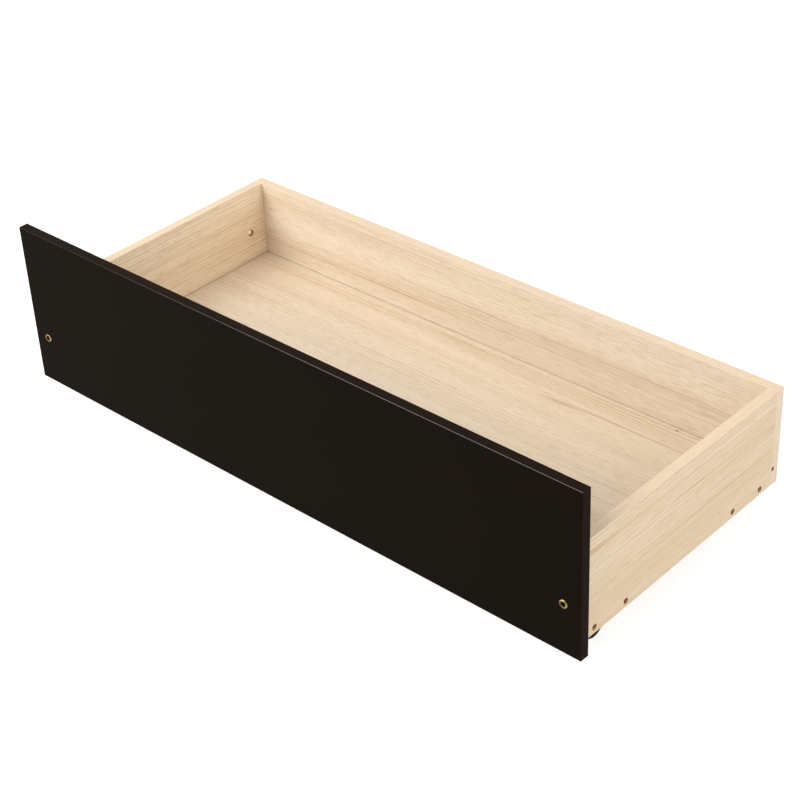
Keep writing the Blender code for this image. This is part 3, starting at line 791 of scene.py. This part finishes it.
class DRAWER_OT_side_panels(bpy.types.Operator):
    """Both side panels: grooved for the floor, drilled for every fastener, banded on top"""

    bl_idname = "drawer.side_panels"
    bl_label = "Side panels"

    def execute(self, context):
        boards, finish = context.scene.drawer_boards, context.scene.drawer_finish
        raw = particle_board("raw_particle_board_sides", finish)
        band = ash_band("ash_edge_band_along_y", ALONG_Y_ACROSS_X, finish)
        gap = cad_gap()
        reach = gap - boards.seam
        for word, side in SIDES.items():
            low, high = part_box(f"{word}_side_panel")
            low, high = low - Vector((0, reach, 0)), high + Vector((0, reach, 0))
            name, shift = f"ash_melamine_foil_{word}", (330, 95 * side, 0)
            # Each side's foil takes its painted light gain: lighter on the left, darker on the right.
            foil = ash_foil(name, ALONG_Y_ACROSS_Z, shift, finish, *SIDE_PAINTED_LIGHT_TINT_PLAIN[word])
            core_high = high - Vector((0, 0, boards.band))
            shape = rounded_block(low, core_high, boards.arris)
            core = mesh_object(f"{word}_side_core", shape, [foil, raw])
            paint_faces(core, 1, (0, 0, -1))
            inner, outer = (high.x, low.x) if side < 0 else (low.x, high.x)
            floor_low, floor_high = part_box("floor_panel")
            tongue_end = (floor_high.x if side > 0 else floor_low.x) + side * gap
            across = sorted((inner - side * OVER, tongue_end))
            groove = groove_cutter((across[0], low.y - OVER), (across[1], high.y + OVER))
            boolean(core, [groove], material=raw)
            boolean(core, self.end_holes(word, low, high), material=raw)
            boolean(core, self.face_holes(word, side, inner, outer), material=raw)
            settle(core, "ash_laminate", [f"{word}_side_panel"])
            centre = (low.x + high.x) / 2
            ends = [(centre, low.y, core_high.z), (centre, high.y, core_high.z)]
            edge_band(f"{word}_side_band", *ends, (0, 0, 1), high.x - low.x, [band], "ash_laminate")
        return {"FINISHED"}

    def end_holes(self, word, low, high):
        """Bolt and dowel holes from both ends."""
        cutters = []
        for end, direction in ENDS.items():
            bolt_low, bolt_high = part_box(f"connector_bolt_{end}_{word}")
            face, tip = (low.y, bolt_high.y) if direction < 0 else (high.y, bolt_low.y)
            start = middle(bolt_low, bolt_high, y=face)
            cutters.append(bore(start, (0, -direction, 0), BOLT_HOLE, abs(tip - face) + SPARE))
            dowels = [f"dowel_{end}_{word}_{level}" for level in ("lower", "upper")]
            cutters += dowel_cutters(dowels, cad_gap())
        return cutters

    def face_holes(self, word, side, inner, outer):
        """Barrel nut holes in the inner face, and stepped rail screw holes through from the outer face."""
        cutters = []
        for end in ENDS:
            low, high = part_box(f"barrel_nut_{end}_{word}")
            far = high.x if side > 0 else low.x
            radius = (high.y - low.y) / 2 + cad_gap()
            depth = abs(far - inner) + cad_gap()
            cutters.append(bore(middle(low, high, x=inner), (side, 0, 0), radius, depth))
        for number in range(1, 5):
            low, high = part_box(f"rail_screw_{word}_{number}")
            head = high.x if side > 0 else low.x
            recess = abs(outer - head)
            radius = (high.y - low.y) / 2 + cad_gap()
            radii = [radius, radius, RAIL_SCREW_HOLE, RAIL_SCREW_HOLE]
            depths = [-OVER, recess + 3.0 * MM, recess + 4.8 * MM, abs(outer - inner) + OVER]
            shape = turned(radii, depths, BORE_SEGMENTS)
            cutters.append(placed(shape, middle(low, high, x=outer), (-side, 0, 0)))
        return cutters


class DRAWER_OT_floor_panel(bpy.types.Operator):
    """Thin floor panel: foil above, smooth hardboard below"""

    bl_idname = "drawer.floor_panel"
    bl_label = "Floor panel"

    def execute(self, context):
        finish = context.scene.drawer_finish
        low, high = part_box("floor_panel")
        knot = (334, 204, 0)
        shift = (0, 0, -high.z / MM)
        foil = ash_foil("ash_foil_floor", ALONG_X_ACROSS_Y, shift, finish, 0.95, 0.17, 0.54, knot)
        shape = rounded_block(low, high, 0.3 * MM)
        floor = mesh_object("floor_sheet", shape, [foil, hardboard("hardboard_underside")])
        paint_faces(floor, 1, (0, 0, -1))
        settle(floor, "ash_laminate", ["floor_panel"])
        return {"FINISHED"}


class DRAWER_OT_cross_rails(bpy.types.Operator):
    """The two rails under the floor that carry the casters"""

    bl_idname = "drawer.cross_rails"
    bl_label = "Cross rails"

    def execute(self, context):
        boards, finish = context.scene.drawer_boards, context.scene.drawer_finish
        raw = particle_board("raw_particle_board_rails", finish)
        reach = Vector((cad_gap() - boards.seam, 0, 0))
        for number, end in enumerate(ENDS):
            low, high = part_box(f"{end}_cross_rail")
            low, high = low - reach, high + reach
            shift = (700 + 260 * number, 31, 9)
            foil = ash_foil(f"ash_foil_{end}_rail", ALONG_X_ACROSS_Y, shift, finish)
            rail = mesh_object(f"{end}_rail_board", rounded_block(low, high, boards.arris), [foil, raw])
            for direction in ((0, -1, 0), (0, 1, 0), (-1, 0, 0), (1, 0, 0)):
                paint_faces(rail, 1, direction)
            boolean(rail, self.holes(end, low, high), material=raw)
            settle(rail, "rail_board", [f"{end}_cross_rail"])
        return {"FINISHED"}

    def holes(self, end, low, high):
        """Blind holes for the rail screws in both ends, and for the caster screws from below."""
        cutters = []
        for word, side in SIDES.items():
            numbers = (1, 2) if end == "front" else (3, 4)
            for number in numbers:
                a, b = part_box(f"rail_screw_{word}_{number}")
                face, tip = (high.x, a.x) if side > 0 else (low.x, b.x)
                depth = abs(face - tip) + SPARE
                cutters.append(bore(middle(a, b, x=face), (-side, 0, 0), RAIL_SCREW_HOLE, depth))
            for number in range(1, 5):
                a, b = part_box(f"caster_screw_{end}_{word}_{number}")
                depth = b.z - low.z + SPARE
                cutters.append(bore(middle(a, b, z=low.z), (0, 0, 1), CASTER_SCREW_HOLE, depth))
        return cutters


# ---------------------------------------------------------------- fasteners


def thread_share(height, turn, pitch, depth, weight):
    """1 less a helical thread's groove: a triangle wave of height / pitch - turn / 2 pi, deepest midway."""
    phase = (height[:, None] / pitch - turn[None, :] / (2 * np.pi)) % 1
    return 1 - depth * weight[:, None] * (1 - np.abs(2 * phase - 1))


def threaded_stud(radius, low, high, pitch, depth, segments, taper=0.0):
    """Rows of a threaded shank from its tip at low up to high: their heights, radii and shares round the
    turn. The thread fades out over its last pitch, and the tip narrows over the taper's length."""
    turn = round_angles(segments)
    count = int((high - low) / pitch * 10)
    height = np.linspace(low, high, count)
    fade = np.clip((high - height) / pitch, 0, 1)
    start = np.clip((height - low) / max(taper, pitch), 0, 1)
    reach = radius * (0.55 + 0.45 * start) if taper else radius * (0.8 + 0.2 * start)
    return height, reach, thread_share(height, turn, pitch, depth, fade * start)


def fastener(stud, head, socket, segments):
    """A shank and head turned as one: the stud's rows, then the head's (radius, height) points up to its
    top, then the socket's, whose radii are multiplied by its outline's share in each direction."""
    height, reach, share = stud
    turn = round_angles(segments)
    shape, rows = socket
    plain = np.ones((len(head), segments))
    inner = np.array([shape(turn) for _ in rows])
    radii = np.concatenate([reach, [r for r, _ in head], [r for r, _ in rows]])
    heights = np.concatenate([height, [h for _, h in head], [h for _, h in rows]])
    return turned(radii, heights, segments, np.concatenate([share, plain, inner]))


def head_rows(shank, radius, thickness, round_over, land):
    """(radius, height) points of a flat head, its top at 0: underside, rounded rim, then in to the land."""
    rim = arc((radius - round_over, -round_over), round_over, 0, 90)
    under = [(shank, -thickness), (radius - 0.2 * MM, -thickness), (radius, -thickness + 0.2 * MM)]
    return under + rim + [(land, 0)]


def hex_socket(across, depth, chamfer):
    """A hexagon socket with a countersunk mouth and a drilled point, for fastener()."""
    corner = across / math.sqrt(3)
    mouth = [(corner + chamfer, -0.05 * MM), (corner, -chamfer)]
    return hexagon, mouth + [(corner, -depth), (corner * 0.5, -depth * 1.15)]


def cross_socket(arm, half_width, rows):
    """A plus-shaped socket for fastener(), from (share of the arm, height) rows."""

    def outline(turn):
        return cross(turn, arm, half_width) / arm

    return outline, [(arm * share, height) for share, height in rows]


class DRAWER_OT_connector_bolts(bpy.types.Operator):
    """Hex-socket connector bolts at the four corners"""

    bl_idname = "drawer.connector_bolts"
    bl_label = "Connector bolts"

    def execute(self, context):
        settings, finish = context.scene.drawer_fasteners, context.scene.drawer_finish
        brass = plated("brass_plated_steel", list(finish.brass), linear("6B4A22"), 0.3)
        # Painted shade: darker brass for the head's dish and near-black steel for the hex socket, where
        # shade falls.
        recess = plated("tarnished_brass_recess", linear("8A7440"), linear("4E3718"), 0.45)
        shaded_socket = plated("oiled_steel_socket", linear("2A2118"), linear("15100B"), 0.5)
        for end, side in CORNERS:
            node = f"connector_bolt_{end}_{side}"
            low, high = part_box(node)
            radius = (high.x - low.x) / 2
            shank, thick = 3.0 * MM, 2.5 * MM
            dish, dish_depth = 5.1 * MM, 0.5 * MM
            mouth = 3.6 * MM
            tip = -(high.y - low.y)
            stud = threaded_stud(shank, tip, tip + 26 * MM, settings.bolt_pitch, 0.17, settings.segments)
            head = [(shank, tip + 27 * MM)] + head_rows(shank, radius, thick, 1.3 * MM, 5.4 * MM)
            head += [(dish, -dish_depth), (mouth, -dish_depth)]
            socket = hex_socket(settings.hex_across + MM, 3.2 * MM, 0.6 * MM)
            shape = fastener(stud, head, socket, settings.segments)
            origin = middle(low, high, y=low.y if end == "front" else high.y)
            outward = (0, ENDS[end], 0)
            bolt = mesh_object(f"bolt_{end}_{side}", placed(shape, origin, outward), [brass, recess, shaded_socket])
            # The dish and the socket take the painted shade materials.
            paint_core(bolt, 1, origin, outward, dish - 0.1 * MM, 3.6 * MM)
            paint_core(bolt, 2, origin, outward, mouth - 0.2 * MM, 4.2 * MM)
            settle(bolt, "brass_plated_steel", [node])
        return {"FINISHED"}


class DRAWER_OT_barrel_nuts(bpy.types.Operator):
    """Slotted barrel nuts in the sides, drilled across for the bolts"""

    bl_idname = "drawer.barrel_nuts"
    bl_label = "Barrel nuts"

    def execute(self, context):
        segments = context.scene.drawer_fasteners.segments
        nickel = plated("nickel_plated_steel", linear("F0EDE6"), linear("C9C0AE"), 0.12)
        for end, word in CORNERS:
            node = f"barrel_nut_{end}_{word}"
            low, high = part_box(node)
            radius, half = (high.y - low.y) / 2, (high.x - low.x) / 2
            centre = (low + high) / 2
            tip = half + NUT_LIFT
            dome = arc((0, tip - 1.25 * radius), 1.25 * radius, 37, 66, 10)
            side = [(radius - 0.4 * MM, -half), (radius, -half + 0.4 * MM)] + dome
            turn = round_angles(segments)
            outline, slot = cross_socket(2.0 * MM, 0.45 * MM, [(1, tip - 0.4 * MM), (1, tip - 1.5 * MM)])
            share = np.concatenate([np.ones((len(side), segments)), [outline(turn)] * len(slot)])
            shape = turned(*zip(*(side + slot)), segments, share)
            inward = (-SIDES[word], 0, 0)
            nut = mesh_object(f"nut_{end}_{word}", placed(shape, centre, inward), [nickel])
            start = centre - Vector((0, 2 * radius, 0))
            boolean(nut, [bore(start, (0, 1, 0), BOLT_HOLE, 4 * radius)], material=nickel)
            settle(nut, "nickel_plated_steel", [node])
        return {"FINISHED"}


class DRAWER_OT_dowels(bpy.types.Operator):
    """Fluted wooden dowels across the corner joints"""

    bl_idname = "drawer.dowels"
    bl_label = "Dowels"

    def execute(self, context):
        wood = birch("birch_dowel_rod")
        segments = 60
        turn = round_angles(segments)
        for end, side in CORNERS:
            for level in ("lower", "upper"):
                node = f"dowel_{end}_{side}_{level}"
                low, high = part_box(node)
                radius, half = (high.x - low.x) / 2, (high.y - low.y) / 2
                nose = arc((radius - MM, half - MM), MM, 0, 90)
                rows = [(r, -h) for r, h in nose[::-1]] + nose
                flutes = 1 - 0.05 * (0.5 + 0.5 * np.cos(20 * turn)) ** 2
                share = np.ones((len(rows), 1)) * flutes
                shape = placed(turned(*zip(*rows), segments, share), (low + high) / 2, (0, 1, 0))
                dowel = mesh_object(f"dowel_rod_{end}_{side}_{level}", shape, [wood])
                settle(dowel, "birch_dowel", [node])
        return {"FINISHED"}


class DRAWER_OT_rail_screws(bpy.types.Operator):
    """Confirmat screws through the sides into the rails"""

    bl_idname = "drawer.rail_screws"
    bl_label = "Rail screws"

    def execute(self, context):
        settings, finish = context.scene.drawer_fasteners, context.scene.drawer_finish
        bronze = plated("bronzed_steel", list(finish.bronze), linear("4E3325"), 0.36)
        for word, side in SIDES.items():
            for number in range(1, 5):
                node = f"rail_screw_{word}_{number}"
                low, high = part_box(node)
                radius = (high.y - low.y) / 2
                tip = -(high.x - low.x)
                shank, soft, land = 2.5 * MM, 0.3 * MM, 2.9 * MM
                pitch = settings.screw_pitch
                stud = threaded_stud(shank, tip, -6 * MM, pitch, 0.3, settings.segments, 3 * MM)
                head = [(shank, -4.5 * MM), (radius, -2.7 * MM)]
                head += arc((radius - soft, -soft), soft, 0, 90) + [(land, 0)]
                socket = hex_socket(settings.hex_across, 2.0 * MM, soft)
                shape = fastener(stud, head, socket, settings.segments)
                shape = placed(shape, middle(low, high, x=high.x if side > 0 else low.x), (side, 0, 0))
                screw = mesh_object(f"confirmat_{word}_{number}", shape, [bronze])
                settle(screw, "bronzed_steel", [node])
        return {"FINISHED"}


# ---------------------------------------------------------------- casters


def wheel_centre(end, word):
    """Where a wheel's joint stands, which is the middle of its axle."""
    joint = next(j for j in frame["joints"] if j["child"] == f"wheel_{end}_{word}")
    return Vector(joint["pos_m"])


class DRAWER_OT_caster_wheels(bpy.types.Operator):
    """Moulded wheels with a crowned tread, a recessed web and ribs"""

    bl_idname = "drawer.caster_wheels"
    bl_label = "Caster wheels"

    def execute(self, context):
        black = black_polypropylene("black_polypropylene", context.scene.drawer_finish)
        ribs = context.scene.drawer_casters.ribs
        segments = 144
        turn = round_angles(segments)
        rib = np.clip(1.6 * np.cos(ribs * turn / 2) ** 24, 0, 1) if ribs else np.zeros(segments)
        for end, word in CORNERS:
            node = f"caster_wheel_{end}_{word}"
            low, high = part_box(node)
            centre = wheel_centre(end, word)
            radius = centre.z - low.z
            hub = (high.x - low.x) / 2
            rim, web, inner = hub - 0.5 * MM, hub - 3.2 * MM, radius - 4.6 * MM
            bore_radius, boss = 2.7 * MM, 6.2 * MM
            shoulder, fillet, edge = 1.2 * MM, 0.4 * MM, 0.3 * MM
            hub_rows = [(bore_radius, hub - edge), (bore_radius + edge, hub)]
            hub_rows += [(boss - fillet, hub), (boss, hub - fillet)]
            web_rows = [(boss + fillet, web), (inner - fillet, web)]
            lip = [(inner, web + fillet), (inner + edge, rim - edge), (inner + 0.7 * MM, rim)]
            tread = arc((radius - shoulder, rim - shoulder), shoulder, 90, 8, 6)
            half = np.array(hub_rows + web_rows + lip + tread)
            height = half[:, 1:] * np.ones(segments)
            height[len(hub_rows) : len(hub_rows) + len(web_rows)] += rib * (rim - 1.0 * MM - web)
            crown = np.array([(radius, rim - 2.6 * MM), (radius, 0), (radius, 2.6 * MM - rim)])
            radii = np.concatenate([half[:, 0], crown[:, 0], half[::-1, 0]])
            heights = np.concatenate([height, crown[:, 1:] * np.ones(segments), -height[::-1]])
            shape = turned(radii[::-1], heights[::-1], segments, wrap_rows=True)
            wheel = mesh_object(f"wheel_{end}_{word}_moulding", placed(shape, centre, (1, 0, 0)), [black])
            settle(wheel, "black_polypropylene", [node], body=f"wheel_{end}_{word}")
        return {"FINISHED"}


def plate_outline(width, depth, radius):
    """A rectangle with round corners, as four arcs."""
    x, y = width / 2 - radius, depth / 2 - radius
    corners = (((x, y), 0), ((-x, y), 90), ((-x, -y), 180), ((x, -y), 270))
    return np.concatenate([arc(centre, radius, start, start + 90, 6) for centre, start in corners])


def leg_outline(half, top, radius, steps=20):
    """A fork leg from the side, anticlockwise: straight edges from a wide root to a round axle end."""
    lean = math.degrees(math.atan2(top, half) - math.acos(radius / math.hypot(half, top)))
    end = arc((0, 0), radius, -180 - lean, lean, steps)
    return np.concatenate([end, [(half, top), (-half, top)]])


class DRAWER_OT_caster_brackets(bpy.types.Operator):
    """Pressed steel brackets: a plate with four holes and two legs that carry the axle"""

    bl_idname = "drawer.caster_brackets"
    bl_label = "Caster brackets"

    def execute(self, context):
        zinc = plated("zinc_plated_steel", linear("C9CBCD"), linear("8F9294"), 0.3)
        settings = context.scene.drawer_casters
        steel, fork = settings.steel, settings.fork
        for end, word in CORNERS:
            node = f"caster_bracket_{end}_{word}"
            low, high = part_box(node)
            axle = wheel_centre(end, word)
            top = middle(low, high, z=high.z - steel)
            outline = plate_outline(high.x - low.x, high.y - low.y, settings.corner)
            plate = placed(prism(outline, 0, steel), top, (0, 0, 1))
            bracket = mesh_object(f"bracket_{end}_{word}", plate, [zinc])
            outline = leg_outline(settings.leg, high.z - steel / 2 - axle.z, axle.z - low.z)
            legs = []
            for x in (-fork - steel, fork):
                flat = prism(outline, x, x + steel)
                legs.append(Shape(flat.points[:, [2, 0, 1]] + np.array(axle), flat.faces))
            boolean(bracket, legs, "UNION", zinc)
            outside = fork + 2 * steel
            start = axle - Vector((outside, 0, 0))
            boolean(bracket, [bore(start, (1, 0, 0), AXLE_HOLE, 2 * outside)], material=zinc)
            screws = []
            for number in range(1, 5):
                spot = middle(*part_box(f"caster_screw_{end}_{word}_{number}"), z=top[2])
                screws.append(bore(spot, (0, 0, 1), CASTER_SCREW_HOLE, 2 * steel))
            boolean(bracket, screws, material=zinc)
            settle(bracket, "zinc_plated_steel", [node], bevel=settings.bend)
        return {"FINISHED"}


class DRAWER_OT_caster_axles(bpy.types.Operator):
    """Rivets through the forks, with domed heads"""

    bl_idname = "drawer.caster_axles"
    bl_label = "Caster axles"

    def execute(self, context):
        steel = plated("riveted_steel_axle", linear("C4C2BC"), linear("8A867E"), 0.3)
        for end, word in CORNERS:
            node = f"caster_axle_{end}_{word}"
            low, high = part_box(node)
            half = (high.x - low.x) / 2
            radius = (high.y - low.y) / 2
            shank, seat, straight = 2.5 * MM, half - 1.2 * MM, 0.3 * MM
            dome = np.radians(np.linspace(0, 78, 8))
            rise = (half - seat - straight) * np.sin(dome) / np.sin(dome[-1])
            cap = np.column_stack([radius * np.cos(dome), seat + straight + rise])
            upper = [(shank, seat), (radius, seat)] + cap.tolist()
            rows = [(r, -h) for r, h in upper[::-1]] + upper
            shape = placed(turned(*zip(*rows), 64), (low + high) / 2, (1, 0, 0))
            axle = mesh_object(f"axle_{end}_{word}", shape, [steel])
            settle(axle, "nickel_plated_steel", [node])
        return {"FINISHED"}


class DRAWER_OT_caster_screws(bpy.types.Operator):
    """Cross-slotted pan-head screws that hold the caster plates"""

    bl_idname = "drawer.caster_screws"
    bl_label = "Caster screws"

    def execute(self, context):
        segments = context.scene.drawer_fasteners.segments
        zinc = plated("zinc_plated_screw", linear("CFC9A8"), linear("9A9270"), 0.3)
        for end, word in CORNERS:
            for number in range(1, 5):
                node = f"caster_screw_{end}_{word}_{number}"
                low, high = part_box(node)
                radius = (high.y - low.y) / 2
                tip = -(high.z - low.z)
                shank = 1.6 * MM
                stud = threaded_stud(shank, tip, -3.2 * MM, 1.2 * MM, 0.3, segments, 2 * MM)
                head = head_rows(shank, radius, 2 * MM, 1.1 * MM, 2.1 * MM)
                rows = [(1, -0.02 * MM), (0.92, -0.8 * MM), (0.5, -1.3 * MM)]
                socket = cross_socket(1.9 * MM, 0.45 * MM, rows)
                shape = fastener(stud, head, socket, segments)
                shape = placed(shape, middle(low, high, z=low.z), (0, 0, -1))
                screw = mesh_object(f"pan_screw_{end}_{word}_{number}", shape, [zinc])
                settle(screw, "zinc_plated_steel", [node])
        return {"FINISHED"}


# ---------------------------------------------------------------- stage


class DRAWER_OT_stage(bpy.types.Operator):
    """Pale floor, soft studio light and the camera"""

    bl_idname = "drawer.stage"
    bl_label = "Stage"

    def execute(self, context):
        scene, stage = context.scene, context.scene.drawer_stage
        self.add_floor(stage)
        self.add_light(scene, stage)
        self.add_camera(scene, stage)
        scene.view_settings.view_transform = "Standard"
        return {"FINISHED"}

    def add_floor(self, stage):
        """A wide round table top on the ground: rings of points, outermost first, their radii in a
        constant ratio, with one face inside the last."""
        rings, spokes = 12, 64
        radii = np.geomspace(40, 0.5, rings)[:, None]
        turn = np.linspace(0, 2 * np.pi, spokes, endpoint=False)
        grid = [radii * np.cos(turn), radii * np.sin(turn), np.zeros((rings, spokes))]
        shape = grid_shape(np.stack(grid, axis=-1), caps=False)
        last = list(range((rings - 1) * spokes, rings * spokes))
        top = light_table("acrylic_light_table", stage.table)
        floor = mesh_object("studio_floor", Shape(shape.points, shape.faces + [last]), [top])

    def add_light(self, scene, stage):
        """Even white sky, a large softbox in front on the left and a weaker one behind on the right."""
        world = bpy.data.worlds.new("studio")
        scene.world = world
        world.use_nodes = True
        sky = world.node_tree.nodes["Background"]
        sky.inputs["Color"].default_value = (1, 1, 1, 1)
        sky.inputs["Strength"].default_value = stage.sky
        lamps = (
            ("key_softbox", (-1.1, -1.95, 1.85), 1.7, stage.key),
            ("fill_softbox", (2.5, 0.5, 1.1), 1.6, stage.fill),
        )
        for name, spot, size, power in lamps:
            lamp = bpy.data.lights.new(name, "AREA")
            lamp.size = size
            lamp.energy = power
            holder = bpy.data.objects.new(name, lamp)
            holder.location = spot
            holder.rotation_euler = (-Vector(spot)).to_track_quat("-Z", "Y").to_euler()
            scene.collection.objects.link(holder)

    def add_camera(self, scene, stage):
        """The camera looks at a point near the drawer's middle."""
        data = bpy.data.cameras.new("studio_camera")
        data.lens = stage.lens
        data.sensor_width = 36
        data.clip_start, data.clip_end = 0.05, 100
        camera = bpy.data.objects.new("studio_camera", data)
        a, e = stage.azimuth, stage.elevation
        back = Vector((math.sin(a) * math.cos(e), -math.cos(a) * math.cos(e), math.sin(e)))
        turn = (-back).to_track_quat("-Z", "Y").to_matrix() @ Matrix.Rotation(stage.roll, 3, "Z")
        camera.matrix_world = Matrix.Translation(Vector(AIM) + back * stage.distance) @ turn.to_4x4()
        scene.collection.objects.link(camera)
        scene.camera = camera


OPERATORS = (
    DRAWER_OT_front_panel,
    DRAWER_OT_back_panel,
    DRAWER_OT_side_panels,
    DRAWER_OT_floor_panel,
    DRAWER_OT_cross_rails,
    DRAWER_OT_connector_bolts,
    DRAWER_OT_barrel_nuts,
    DRAWER_OT_dowels,
    DRAWER_OT_rail_screws,
    DRAWER_OT_caster_wheels,
    DRAWER_OT_caster_brackets,
    DRAWER_OT_caster_axles,
    DRAWER_OT_caster_screws,
    DRAWER_OT_stage,
)


class DRAWER_PT_panel(bpy.types.Panel):
    """Sidebar panel with the settings and one button for each operator"""

    bl_label = "Under-bed drawer"
    bl_idname = "DRAWER_PT_panel"
    bl_space_type = "VIEW_3D"
    bl_region_type = "UI"
    bl_category = "Drawer"

    def draw(self, context):
        for name, group in GROUPS.items():
            box = self.layout.box()
            for setting in group.__annotations__:
                box.prop(getattr(context.scene, name), setting)
        for operator in OPERATORS:
            self.layout.operator(operator.bl_idname)


def register():
    """Adds the classes, then one group of settings each to the scene."""
    for cls in (*GROUPS.values(), *OPERATORS, DRAWER_PT_panel):
        bpy.utils.register_class(cls)
    for name, group in GROUPS.items():
        setattr(bpy.types.Scene, name, PointerProperty(type=group))


def unregister():
    """Takes the settings and the classes away again."""
    for name in GROUPS:
        delattr(bpy.types.Scene, name)
    for cls in reversed((*GROUPS.values(), *OPERATORS, DRAWER_PT_panel)):
        bpy.utils.unregister_class(cls)


def main():
    """Builds every piece and the stage in order."""
    register()
    for operator in OPERATORS:
        group, name = operator.bl_idname.split(".")
        getattr(getattr(bpy.ops, group), name)()


if __name__ == "__main__":
    main()
